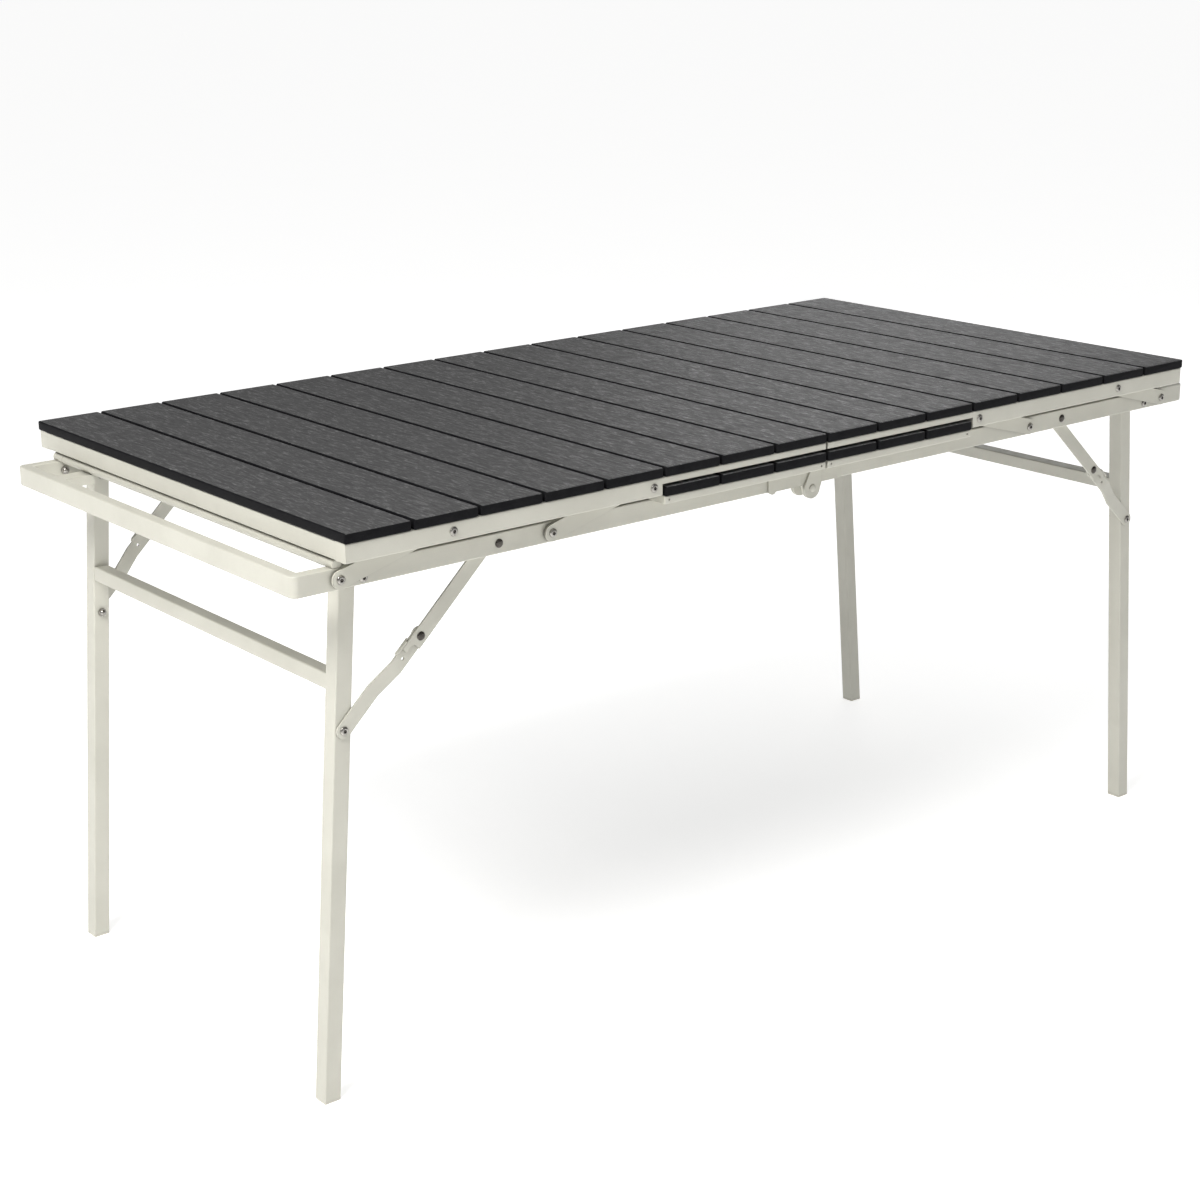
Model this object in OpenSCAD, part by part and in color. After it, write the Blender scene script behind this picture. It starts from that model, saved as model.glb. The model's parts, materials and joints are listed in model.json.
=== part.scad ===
// Folding picnic table: two hinged halves on folding legs, each with a fixed
// centre deck and an upper slat panel that swings outward on parallel links.
// Units are millimetres. +X runs along the table, -Y is the front, +Z is up.
// Everything is drawn for the right half's front side and mirrored from there.

/* [Top] */
// Height of the upper slats' top face above the floor
table_h = 700; // [660:5:740]
// Width of the table across the slats' length
table_w = 732; // [680:2:780]
// Width of one slat
slat_w = 85.6; // [84:0.2:88]
// Gap between neighbouring slats
slat_gap = 4; // [3:0.5:5]
// Thickness of one slat
slat_t = 12; // [11:0.5:13]

/* [Panel rails] */
// Depth of the panel's outer rails
deep_rail_h = 22.4; // [21:0.2:23]
// Depth of the thin rails over the centre deck
thin_rail_h = 9; // [8:0.5:9.5]
// Width of every panel and deck rail
rail_w = 20; // [18:0.5:20.5]
// Daylight between the panel's thin rail and the deck slats
deck_gap = 3; // [2.5:0.5:4]

/* [Lower frame] */
// Height of the lower frame tube
tube_h = 25; // [24:0.5:26]
// Width of the lower frame tube
tube_w = 15; // [14:0.5:16]
// How far the lower frame stands out past the top's end
handle_reach = 48; // [42:1:55]
// Depth of the deck's thin rails
deck_rail_h = 10; // [9:0.5:11]

/* [Legs] */
// Outside size of the square leg tube
leg_size = 22; // [20:0.5:23]
// Angle by which each leg pair leans outward
leg_splay = 4.7; // [3:0.1:6]
// Distance from the leg's pivot to the brace's bolt, and to the brace's upper pivot
brace_reach = 183.5; // [178:0.5:188]

/* [Hidden] */
$fn = 48;

// Slats and panels
panel_slat_count = 8;
deck_slat_count = 3;
pitch = slat_w + slat_gap;
end_gap = slat_gap / 2;
half_l = panel_slat_count * pitch - end_gap;
deck_l = deck_slat_count * pitch - end_gap;
slat_round = 2;
slat_lip = 1.5;

// Heights of the layers, from the top down
slat_z = table_h - slat_t;
deep_rail_z = slat_z - deep_rail_h;
deck_top = slat_z - thin_rail_h - deck_gap;
deck_slat_z = deck_top - slat_t;
tube_top = deck_slat_z - deck_rail_h;
tube_z = tube_top - tube_h;
tube_mid = tube_z + tube_h / 2;

// Layers across the table, measured inward from the slats' front edge
rail_in = slat_lip + rail_w;
plate_t = 2.5;
link_out = 26;
link_in = link_out + plate_t;
tube_out = 31.5;
tube_in = tube_out + tube_w;
upper_arm_out = 49;
lower_arm_out = upper_arm_out + plate_t + 0.25;
leg_out = 64;
leg_in = leg_out + leg_size;
foot_arm_out = leg_out - plate_t - 0.2;

// Tube walls, corner rounding and bends
wall = 1.2;
corner_r = 1.8;
bend_r = 9;
frame_l = half_l + handle_reach;

// Fasteners: bolts run in bores with pin_play of radial clearance
bolt_r = 3;
pin_play = 0.08;
bore_r = bolt_r + pin_play;
head_r = 5.3;
head_h = 2.2;
socket_r = 2.3;
socket_d = 1.4;
nut_r = 5.6;
nut_h = 3.6;
dome_h = 3.2;
thin_nut_h = 2.2;
spacer_r = 7;
screw_r = 2;
screw_head_r = 3.6;
screw_head_h = 1.2;
screw_grip = 8;
drain_r = 2.5;
rivet_hole_r = 1.2;
rivet_tail_h = 1.6;

// Parallel links: the panel travels outward by the deck's length and drops level with it
travel = deck_slat_count * pitch;
drop = table_h - deck_top;
link_rise = 35.5;
link_run = (travel * travel + drop * drop - 2 * drop * link_rise) / (2 * travel);
link_len = sqrt(link_run * link_run + link_rise * link_rise);
link_tilt = atan2(link_rise, link_run);
link_w = 2 * (slat_z - tube_mid - link_rise) - 1;
link_spacing = 289;
outer_low_x = half_l - 9.75;
inner_low_x = outer_low_x - link_spacing;
outer_up_x = outer_low_x - link_run;
inner_up_x = inner_low_x - link_run;
up_z = tube_mid + link_rise;
step_x = deck_slat_count * pitch + end_gap;

// Legs
leg_x = half_l - 41.75;
leg_z = tube_z + 8;
foot_cap_h = 2.5;
stretcher_down = 130.5;
stretcher_w = 20;
stretcher_h = 19;

// Folding brace: two equal arms, straight when the leg is down
arm_w = 19;
brace_x = leg_x - brace_reach;
brace_z = tube_mid;
foot_bolt_x = leg_x + brace_reach * sin(leg_splay);
foot_bolt_z = leg_z - brace_reach * cos(leg_splay);
brace_dx = foot_bolt_x - brace_x;
brace_dz = brace_z - foot_bolt_z;
arm_len = sqrt(brace_dx * brace_dx + brace_dz * brace_dz) / 2;
brace_tilt = atan2(brace_dz, brace_dx);
knee_x = (brace_x + foot_bolt_x) / 2;
knee_z = (brace_z + foot_bolt_z) / 2;
joggle_start = 46;
joggle_run = 36;
joggle_step = foot_arm_out - lower_arm_out;
ear_w = 2.2;
ear_l = 35;
knee_lug = 12;
tongue_l = 25.5;
tongue_cut_x = 20.2;
tongue_cut_y = 7.5;
tongue_cut_r = 10.3;
knee_disc_r = 10.8;

// Centre hinge
hinge_z = tube_z - 4.6;
hinge_disc_r = 13.5;
hinge_pin_r = 2.5;
ear_gap = 0.2;
left_ear_out = tube_out - ear_gap - plate_t;
right_ear_out = left_ear_out - ear_gap - plate_t;
left_ear_in = tube_in + ear_gap;
right_ear_in = left_ear_in + plate_t + ear_gap;
leaf_l = 73;
short_leaf_l = 52;

// Rest bar and corner bracket
rest_x = half_l - 8.5;
rest_r = 5.6;
boss_r = 6.2;
rest_z = tube_top + 3.2;
boss_l = 24.5;

coat = [0.87, 0.85, 0.79];
slat_grey = [0.2, 0.2, 0.21];
steel = [0.75, 0.75, 0.76];
cap_white = [0.8, 0.79, 0.75];

// ---------- helpers ----------

// Y of a plane that lies d inside the slats' front edge
function front_y(d) = d - table_w / 2;

module left() { mirror([1, 0, 0]) children(); }
module back() { mirror([0, 1, 0]) children(); }
module front_and_back() {
    children();
    back() children();
}

// Outline with rounded corners, from the origin
module round_rect(w, h, r) {
    translate([r, 0]) square([w - 2 * r, h]);
    translate([0, r]) square([w, h - 2 * r]);
    for (x = [r, w - r], y = [r, h - r]) translate([x, y]) circle(r, $fn = 24);
}

// Wall section of a rectangular tube, from the origin
module tube_section(w, h) {
    difference() {
        round_rect(w, h, corner_r);
        translate([wall, wall]) square([w - 2 * wall, h - 2 * wall]);
    }
}

// Tube along X with closed ends
module tube_x(x0, x1, y0, z0, w, h) {
    translate([x0, y0, z0]) {
        difference() {
            rotate([90, 0, 90]) linear_extrude(x1 - x0) round_rect(w, h, corner_r);
            translate([wall, wall, wall]) cube([x1 - x0 - 2 * wall, w - 2 * wall, h - 2 * wall]);
        }
    }
}

// Open-ended tube along Y, centred on the table
module cross_tube(x0, z0, w, h, l) {
    translate([x0, l / 2, z0]) rotate([90, 0, 0]) linear_extrude(l) tube_section(w, h);
}

// Cylinder along +Y from a plane d inside the front edge
module y_rod(x, z, d, l, r) {
    translate([x, front_y(d), z]) rotate([-90, 0, 0]) cylinder(r = r, h = l);
}

// Ring along +Y
module y_ring(x, z, d, l, r_out, r_in) {
    difference() {
        y_rod(x, z, d, l, r_out);
        y_rod(x, z, d - 1, l + 2, r_in);
    }
}

// Button-head bolt whose head bears on the plane d, with its shank running inward
module button_bolt(x, z, d, l) {
    translate([x, front_y(d), z]) rotate([-90, 0, 0]) {
        difference() {
            union() {
                translate([0, 0, -head_h / 2]) cylinder(r = head_r, h = head_h / 2);
                translate([0, 0, -head_h]) cylinder(r1 = head_r * 0.66, r2 = head_r, h = head_h / 2);
                cylinder(r = bolt_r, h = l);
            }
            translate([0, 0, -head_h - 1]) cylinder(r = socket_r, h = socket_d + 1, $fn = 6);
        }
    }
}

// Domed rivet whose head bears on the plane d, with its shank running inward
module rivet(x, z, d, l) {
    y_rod(x, z, d - 0.1, l + 0.1, bolt_r);
    translate([x, front_y(d), z]) rotate([-90, 0, 0]) {
        translate([0, 0, -1]) cylinder(r = head_r, h = 1);
        translate([0, 0, -head_h]) cylinder(r1 = head_r * 0.55, r2 = head_r, h = head_h - 1);
    }
}

// Cap nut run home on its bolt: it bears on the plane d and closes inward
module cap_nut(x, z, d) {
    translate([x, front_y(d), z]) rotate([-90, 0, 0]) {
        cylinder(r = nut_r, h = nut_h, $fn = 6);
        translate([0, 0, nut_h]) cylinder(r1 = nut_r * 0.85, r2 = nut_r * 0.45, h = dome_h);
    }
}

// Thin hexagon nut on the plane d
module thin_nut(x, z, d) {
    translate([x, front_y(d), z]) rotate([-90, 0, 0]) cylinder(r = nut_r, h = thin_nut_h, $fn = 6);
}

// Flat bar of width w between two pivots, in its own frame: the first pivot is the origin
module bar_outline(l, w) {
    translate([0, -w / 2]) square([l, w]);
    circle(w / 2);
    translate([l, 0]) circle(w / 2);
}

// Plate in the XZ plane whose outer face lies d inside the front edge
module plate_xz(d, t) {
    translate([0, front_y(d + t), 0]) rotate([90, 0, 0]) linear_extrude(t) children();
}

// ---------- lower frame ----------

// Tight bend of the lower tube, at the outer front corner: the outside is rounded, the inside square
module u_bend() {
    translate([frame_l - bend_r, front_y(tube_out + bend_r), tube_z])
        rotate([0, 0, -90]) rotate_extrude(angle = 90, $fn = 96) intersection() {
            translate([bend_r - tube_w, 0]) tube_section(tube_w, tube_h);
            square([bend_r, tube_h]);
        }
}

module side_tube() {
    translate([end_gap, front_y(tube_out), tube_z]) rotate([90, 0, 90])
        linear_extrude(frame_l - bend_r - end_gap) tube_section(tube_w, tube_h);
    translate([end_gap, front_y(tube_out) + wall / 2, tube_z + wall / 2])
        cube([wall, tube_w - wall, tube_h - wall]);
}

module u_tube() {
    color(coat) difference() {
        union() {
            front_and_back() {
                side_tube();
                u_bend();
            }
            cross_tube(frame_l - tube_w, tube_z, tube_w, tube_h, table_w - 2 * (tube_out + bend_r));
        }
        front_and_back() {
            for (p = [[outer_low_x, tube_mid], [inner_low_x, tube_mid], [leg_x, leg_z], [brace_x, brace_z]])
                y_rod(p[0], p[1], tube_out - 1, tube_w + 2, bore_r);
        }
        for (y = [-1, 1]) translate([frame_l - tube_w - 1, y * table_w / 3, tube_mid])
            rotate([0, 90, 0]) cylinder(r = drain_r, h = wall + 2);
    }
}

module deck_frame() {
    inner_w = table_w - 2 * rail_in;
    color(coat) difference() {
        union() {
            front_and_back() tube_x(end_gap, deck_l, front_y(slat_lip), tube_top, rail_w, deck_rail_h);
            cross_tube(end_gap, tube_top, rail_w, deck_rail_h, inner_w);
            cross_tube(deck_l - rail_w, tube_top, rail_w, deck_rail_h, inner_w);
        }
        front_and_back() {
            for (x = [6.5 + end_gap, deck_l - 6.5])
                y_rod(x, tube_top + deck_rail_h / 2, slat_lip - 1, wall + 2, rivet_hole_r);
            screw_holes(deck_slat_count, tube_top, deck_rail_h);
        }
    }
}

// One slat with rounded edges, lying along Y
module slat(x, z) {
    translate([x, table_w / 2, z]) rotate([90, 0, 0]) linear_extrude(table_w) round_rect(slat_w, slat_t, slat_round);
}

module deck_slats() {
    color(slat_grey) for (i = [0 : deck_slat_count - 1]) slat(end_gap + i * pitch, deck_slat_z);
}

// Screw from below: its head bears on z, its shank ends screw_grip inside the slat above
module slat_screw(x, z, slat_under) {
    translate([x, front_y(slat_lip + rail_w / 2), z]) {
        translate([0, 0, -screw_head_h]) cylinder(r = screw_head_r, h = screw_head_h, $fn = 24);
        cylinder(r = screw_r, h = slat_under + screw_grip - z, $fn = 24);
    }
}

// Holes through a side rail for the screws of the first count slats
module screw_holes(count, z, h) {
    for (i = [0 : count - 1])
        translate([end_gap + slat_w / 2 + i * pitch, front_y(slat_lip + rail_w / 2), z - 1])
            cylinder(r = screw_r + pin_play, h = h + 2, $fn = 24);
}

module deck_screws() {
    color(steel) front_and_back() {
        for (i = [0 : deck_slat_count - 1])
            slat_screw(end_gap + slat_w / 2 + i * pitch, tube_top, deck_slat_z);
    }
}

module rest_bar() {
    span = table_w - 2 * (tube_out + boss_l);
    color(coat) {
        y_rod(rest_x, rest_z, tube_out + boss_l - 1, span + 2, rest_r);
        front_and_back() difference() {
            y_rod(rest_x, rest_z, tube_out, boss_l, boss_r);
            translate([rest_x - 2 * boss_r, -table_w / 2, tube_top - 2 * boss_r])
                cube([4 * boss_r, table_w, 2 * boss_r]);
        }
    }
}

// Short channel on the inside of the end tube, beside the back leg
module corner_bracket() {
    length = 44;
    width = 26;
    height = 12;
    top = tube_top - 3;
    inset = 104;
    translate([frame_l - tube_w - length, table_w / 2 - inset - width, top - height]) color(coat) difference() {
        cube([length, width, height]);
        translate([-1, 2, -1]) cube([length + 2, width - 4, height - 1]);
    }
}

module frame_bolts() {
    link_bolt_l = tube_in - link_out + nut_h;
    leg_bolt_l = leg_in - tube_out + nut_h;
    tail_in = upper_arm_out + plate_t + 0.2;
    color(steel) front_and_back() {
        for (x = [outer_low_x, inner_low_x]) {
            button_bolt(x, tube_mid, link_out - pin_play, link_bolt_l);
            cap_nut(x, tube_mid, tube_in);
        }
        button_bolt(leg_x, leg_z, tube_out, leg_bolt_l);
        cap_nut(leg_x, leg_z, leg_in + 0.2);
        rivet(brace_x, brace_z, tube_out, tail_in + rivet_tail_h / 2 - tube_out);
        y_rod(brace_x, brace_z, tail_in, rivet_tail_h, head_r);
    }
}

module frame_spacers() {
    color(steel) front_and_back() {
        for (x = [outer_low_x, inner_low_x])
            y_ring(x, tube_mid, link_in + 0.1, tube_out - link_in - 0.1, spacer_r, bore_r);
        y_ring(leg_x, leg_z, tube_in, leg_out - tube_in - 0.1, spacer_r, bore_r);
        y_ring(brace_x, brace_z, tube_in, upper_arm_out - tube_in - 0.1, spacer_r, bore_r);
    }
}

// ---------- centre hinge ----------

module leaf_ear(d, reach) {
    top = tube_top - 3.5;
    plate_xz(d, plate_t) difference() {
        union() {
            translate([0, hinge_z]) circle(hinge_disc_r);
            polygon([[-hinge_disc_r * 0.85, hinge_z + hinge_disc_r * 0.53], [-1.5, top], [reach, top],
                [reach, tube_z + 0.5], [hinge_disc_r * 0.8, hinge_z - hinge_disc_r * 0.6]]);
        }
        translate([0, hinge_z]) circle(hinge_pin_r + pin_play);
    }
}

// The right half's leaf: its ears stand clear of the tube and step back onto it
module right_hinge_leaf() {
    step_l = 3;
    reach = 16;
    color(coat) front_and_back() {
        leaf_ear(right_ear_out, reach);
        leaf_ear(right_ear_in, reach);
        translate([reach - step_l, front_y(right_ear_out), tube_z + 0.5])
            cube([step_l, tube_out - right_ear_out, tube_h - 5.5]);
        translate([reach - step_l, front_y(tube_in), tube_z + 0.5])
            cube([step_l, right_ear_in + plate_t - tube_in, tube_h - 5.5]);
        for (d = [tube_out - plate_t, tube_in])
            translate([reach, front_y(d), tube_z + 0.5]) cube([short_leaf_l - reach, plate_t, tube_h - 5.5]);
    }
}

// The left half's leaf, drawn mirrored like every left part: ears against the tube
module left_leaf() {
    tab_r = 7;
    color(coat) front_and_back() {
        for (d = [left_ear_out, left_ear_in]) leaf_ear(d, 16);
        for (d = [tube_out - plate_t, tube_in]) {
            plate_xz(d, plate_t) {
                translate([8, tube_z + 0.5]) square([leaf_l - 8, tube_h - 5.5]);
                translate([leaf_l - tab_r, tube_z + 4.5]) circle(tab_r);
            }
        }
    }
}

module hinge_pins() {
    length = right_ear_in + plate_t - right_ear_out + 1.2;
    pin_head_r = 5;
    color(coat) front_and_back() {
        y_rod(0, hinge_z, right_ear_out - 0.6, length, hinge_pin_r);
        translate([0, front_y(right_ear_out - 0.1), hinge_z]) rotate([-90, 0, 0])
            translate([0, 0, -2.2]) cylinder(r1 = 3, r2 = pin_head_r, h = 2.2);
        y_rod(0, hinge_z, right_ear_in + plate_t + 0.2, 1.4, pin_head_r * 0.8);
    }
}

// ---------- legs and braces ----------

// Leg frame: origin on the leg's pivot axis, -Z along the leg towards the foot
module in_leg() {
    translate([leg_x, 0, leg_z]) rotate([0, -leg_splay, 0]) children();
}

// Long leg blank, cut flat by the caller
module leg_blank(solid) {
    in_leg() translate([-leg_size / 2, front_y(leg_out), -leg_z - leg_size]) {
        linear_extrude(leg_z + 1.5 * leg_size) {
            if (solid) round_rect(leg_size, leg_size, corner_r);
            else tube_section(leg_size, leg_size);
        }
    }
}

module leg_tubes() {
    color(coat) front_and_back() difference() {
        union() {
            leg_blank(false);
            in_leg() translate([-leg_size / 2 + wall / 2, front_y(leg_out) + wall / 2, leg_size / 2 - wall])
                cube([leg_size - wall, leg_size - wall, wall]);
        }
        translate([0, -table_w / 2, foot_cap_h - 100]) cube([2 * half_l, table_w, 100]);
        y_rod(leg_x, leg_z, leg_out - 1, leg_size + 2, bore_r);
        y_rod(foot_bolt_x, foot_bolt_z, leg_out - 1, leg_size + 2, bore_r);
    }
}

module foot_caps() {
    color(cap_white) front_and_back() difference() {
        leg_blank(true);
        translate([0, -table_w / 2, -100]) cube([2 * half_l, table_w, 100]);
        translate([0, -table_w / 2, foot_cap_h]) cube([2 * half_l, table_w, table_h]);
    }
}

module leg_stretcher() {
    color(coat) in_leg() cross_tube(-stretcher_w / 2, -stretcher_down - stretcher_h / 2, stretcher_w, stretcher_h,
        table_w - 2 * leg_in);
}

module brace_bolts() {
    color(steel) front_and_back() {
        button_bolt(foot_bolt_x, foot_bolt_z, foot_arm_out - 0.1, leg_in - foot_arm_out + 0.1 + nut_h);
        cap_nut(foot_bolt_x, foot_bolt_z, leg_in);
    }
}

// Upper arm's outline: past the knee it keeps a lug below and a longer tongue above
module upper_arm_outline() {
    half = arm_w / 2;
    difference() {
        union() {
            bar_outline(arm_len, arm_w);
            translate([arm_len, -half]) square([knee_lug, arm_w]);
            difference() {
                translate([arm_len, -half]) square([tongue_l, arm_w]);
                translate([arm_len + tongue_cut_x, -tongue_cut_y]) circle(tongue_cut_r);
            }
        }
        circle(bore_r);
        translate([arm_len, 0]) circle(bore_r);
    }
}

// Upper arm, from the lower frame's pivot down to the knee
module upper_arm() {
    color(coat) plate_xz(upper_arm_out, plate_t) translate([brace_x, brace_z]) rotate(-brace_tilt)
        upper_arm_outline();
}

// Knee rivet: dome outside, shank ending flush with the upper arm
module knee_rivet() {
    color(steel) rivet(knee_x, knee_z, upper_arm_out, plate_t);
}

// Lower arm's side profile: flat at the knee, stepped inward to the leg's face
module joggle_profile() {
    far = arm_len + arm_w;
    polygon([[-arm_w, joggle_step], [arm_len - joggle_start - joggle_run, joggle_step],
        [arm_len - joggle_start, 0], [far, 0], [far, plate_t], [arm_len - joggle_start + 1, plate_t],
        [arm_len - joggle_start - joggle_run + 1, joggle_step + plate_t], [-arm_w, joggle_step + plate_t]]);
}

// Lower arm in its own frame: origin on the leg's bolt, +X to the knee, outer face up to the front
module lower_arm_outline() {
    difference() {
        union() {
            bar_outline(arm_len, arm_w);
            translate([arm_len, 0]) circle(knee_disc_r);
            translate([arm_len - ear_l, 0]) square([ear_l - knee_lug, arm_w / 2 + ear_w]);
        }
        circle(bore_r);
        translate([arm_len - ear_l + 2, 0]) circle(rivet_hole_r * 1.6);
    }
}

module lower_arm() {
    color(coat) translate([foot_bolt_x, front_y(lower_arm_out), foot_bolt_z])
        rotate([0, -(180 - brace_tilt), 0]) intersection() {
            translate([0, 0, -arm_w]) linear_extrude(3 * arm_w) joggle_profile();
            translate([0, joggle_step + 2 * plate_t, 0]) rotate([90, 0, 0])
                linear_extrude(joggle_step + 4 * plate_t) mirror([0, 1]) lower_arm_outline();
        }
}

// ---------- links and panel ----------

module link(low_x) {
    color(coat) plate_xz(link_out, plate_t) translate([low_x, tube_mid]) rotate(180 - link_tilt) difference() {
        bar_outline(link_len, link_w);
        circle(bore_r);
        translate([link_len, 0]) circle(bore_r);
    }
}

module panel_side() {
    tube_x(end_gap, step_x + wall, front_y(slat_lip), slat_z - thin_rail_h, rail_w, thin_rail_h);
    tube_x(step_x, half_l - slat_lip, front_y(slat_lip), deep_rail_z, rail_w, deep_rail_h);
}

module panel_rails() {
    color(coat) front_and_back() difference() {
        panel_side();
        for (x = [outer_up_x, inner_up_x]) y_rod(x, up_z, slat_lip - 1, rail_w + 2, bore_r);
        screw_holes(panel_slat_count, deep_rail_z, deep_rail_h);
    }
}

// End rail, and the three thin rails between the side rails
module panel_cross_rails() {
    inner_w = table_w - 2 * rail_in;
    color(coat) {
        cross_tube(half_l - slat_lip - rail_w, deep_rail_z, rail_w, deep_rail_h, inner_w);
        for (x = [end_gap, step_x + 120, step_x + 362])
            cross_tube(x, slat_z - thin_rail_h, rail_w, thin_rail_h, inner_w);
    }
}

module panel_slats() {
    color(slat_grey) for (i = [0 : panel_slat_count - 1]) slat(end_gap + i * pitch, slat_z);
}

module panel_screws() {
    color(steel) front_and_back() {
        for (i = [0 : panel_slat_count - 1])
            slat_screw(end_gap + slat_w / 2 + i * pitch,
                i < deck_slat_count ? slat_z - thin_rail_h : deep_rail_z, slat_z);
    }
}

module panel_bolts() {
    bolt_l = link_in + 0.2 + thin_nut_h + 0.5 - slat_lip;
    color(steel) front_and_back() {
        for (x = [outer_up_x, inner_up_x]) {
            button_bolt(x, up_z, slat_lip, bolt_l);
            thin_nut(x, up_z, link_in + 0.2);
        }
    }
}

module panel_spacers() {
    color(steel) front_and_back() {
        for (x = [outer_up_x, inner_up_x])
            y_ring(x, up_z, rail_in, link_out - rail_in - 0.1, spacer_r, bore_r);
    }
}

// ---------- nodes ----------

left() u_tube();  // left_u_tube
left() deck_frame();  // left_deck_frame
left() deck_slats();  // left_deck_slats
left() deck_screws();  // left_deck_screws
left() rest_bar();  // left_rest_bar
left() frame_bolts();  // left_frame_bolts
left() frame_spacers();  // left_frame_spacers
left() left_leaf();  // left_hinge_leaf
left() corner_bracket();  // left_corner_bracket
left() leg_tubes();  // left_leg_tubes
left() leg_stretcher();  // left_leg_stretcher
left() foot_caps();  // left_foot_caps
left() brace_bolts();  // left_brace_bolts
left() upper_arm();  // left_front_upper_arm
left() back() upper_arm();  // left_back_upper_arm
left() knee_rivet();  // left_front_knee_rivet
left() back() knee_rivet();  // left_back_knee_rivet
left() lower_arm();  // left_front_lower_arm
left() back() lower_arm();  // left_back_lower_arm
left() link(outer_low_x);  // left_front_outer_link
left() back() link(outer_low_x);  // left_back_outer_link
left() link(inner_low_x);  // left_front_inner_link
left() back() link(inner_low_x);  // left_back_inner_link
left() panel_rails();  // left_panel_rails
left() panel_cross_rails();  // left_panel_cross_rails
left() panel_slats();  // left_panel_slats
left() panel_screws();  // left_panel_screws
left() panel_bolts();  // left_panel_bolts
left() panel_spacers();  // left_panel_spacers
u_tube();  // right_u_tube
deck_frame();  // right_deck_frame
deck_slats();  // right_deck_slats
deck_screws();  // right_deck_screws
rest_bar();  // right_rest_bar
frame_bolts();  // right_frame_bolts
frame_spacers();  // right_frame_spacers
right_hinge_leaf();
leg_tubes();  // right_leg_tubes
leg_stretcher();  // right_leg_stretcher
foot_caps();  // right_foot_caps
brace_bolts();  // right_brace_bolts
upper_arm();  // right_front_upper_arm
back() upper_arm();  // right_back_upper_arm
knee_rivet();  // right_front_knee_rivet
back() knee_rivet();  // right_back_knee_rivet
lower_arm();  // right_front_lower_arm
back() lower_arm();  // right_back_lower_arm
link(outer_low_x);  // right_front_outer_link
back() link(outer_low_x);  // right_back_outer_link
link(inner_low_x);  // right_front_inner_link
back() link(inner_low_x);  // right_back_inner_link
panel_rails();  // right_panel_rails
panel_cross_rails();  // right_panel_cross_rails
panel_slats();  // right_panel_slats
panel_screws();  // right_panel_screws
panel_bolts();  // right_panel_bolts
panel_spacers();  // right_panel_spacers
hinge_pins();
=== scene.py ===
"""Looks of a folding picnic table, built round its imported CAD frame.

The frame's tubes, plates and rails are shown as copies with their edges rounded. Slats,
bolts, nuts, rivets, pins, screws, the braces' stop lips and weld beads are built here.
"""

import json
import math

import bmesh
import bpy
from mathutils import Matrix, Vector, noise

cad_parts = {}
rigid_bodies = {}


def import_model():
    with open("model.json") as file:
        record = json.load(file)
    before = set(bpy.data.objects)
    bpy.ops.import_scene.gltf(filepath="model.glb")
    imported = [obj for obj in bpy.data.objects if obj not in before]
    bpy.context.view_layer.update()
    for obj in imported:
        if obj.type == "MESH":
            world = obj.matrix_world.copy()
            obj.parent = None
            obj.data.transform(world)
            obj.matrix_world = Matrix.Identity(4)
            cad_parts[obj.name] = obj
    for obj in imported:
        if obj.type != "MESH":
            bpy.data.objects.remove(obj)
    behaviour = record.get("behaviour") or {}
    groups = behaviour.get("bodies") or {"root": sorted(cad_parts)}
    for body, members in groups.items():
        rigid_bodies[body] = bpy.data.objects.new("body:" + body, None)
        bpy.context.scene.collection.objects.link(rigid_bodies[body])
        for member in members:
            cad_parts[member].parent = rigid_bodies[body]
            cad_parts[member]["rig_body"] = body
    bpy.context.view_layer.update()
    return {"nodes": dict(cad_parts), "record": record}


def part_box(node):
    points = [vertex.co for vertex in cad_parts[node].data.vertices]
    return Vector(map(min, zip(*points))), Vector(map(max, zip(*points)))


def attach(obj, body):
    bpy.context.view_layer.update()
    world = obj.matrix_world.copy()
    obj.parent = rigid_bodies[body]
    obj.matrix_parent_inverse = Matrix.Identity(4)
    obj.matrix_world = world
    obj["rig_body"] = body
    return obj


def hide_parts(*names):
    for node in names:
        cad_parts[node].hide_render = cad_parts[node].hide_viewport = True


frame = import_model()

MM = 0.001
SIDES = ("left", "right")
NODES = frame["nodes"]


# ---------- node helpers ----------

def new_material(name):
    """A node material with one shader wired to its output, as (material, tree, shader)."""
    material = bpy.data.materials.new(name)
    material.use_nodes = True
    tree = material.node_tree
    tree.nodes.clear()
    output = tree.nodes.new("ShaderNodeOutputMaterial")
    shader = tree.nodes.new("ShaderNodeBsdfPrincipled")
    tree.links.new(shader.outputs["BSDF"], output.inputs["Surface"])
    return material, tree, shader


def connect(tree, source, target):
    """Links an output socket, or sets a plain value, on an input socket."""
    if isinstance(source, bpy.types.NodeSocket):
        tree.links.new(source, target)
    else:
        target.default_value = source


def object_coords(tree, stretch=(1, 1, 1)):
    """Object coordinates, in metres from the table's origin, stretched along each axis."""
    coords = tree.nodes.new("ShaderNodeTexCoord")
    mapping = tree.nodes.new("ShaderNodeMapping")
    mapping.inputs["Scale"].default_value = stretch
    tree.links.new(coords.outputs["Object"], mapping.inputs["Vector"])
    return mapping.outputs["Vector"]


def noise_value(tree, vector, scale, detail=3.0, roughness=0.5, distortion=0.0):
    """Fractal noise from 0 to 1."""
    node = tree.nodes.new("ShaderNodeTexNoise")
    connect(tree, vector, node.inputs["Vector"])
    node.inputs["Scale"].default_value = scale
    node.inputs["Detail"].default_value = detail
    node.inputs["Roughness"].default_value = roughness
    node.inputs["Distortion"].default_value = distortion
    return node.outputs["Fac"]


def maths(tree, operation, a, b):
    """One arithmetic step on two sockets or numbers."""
    node = tree.nodes.new("ShaderNodeMath")
    node.operation = operation
    connect(tree, a, node.inputs[0])
    connect(tree, b, node.inputs[1])
    return node.outputs[0]


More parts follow.
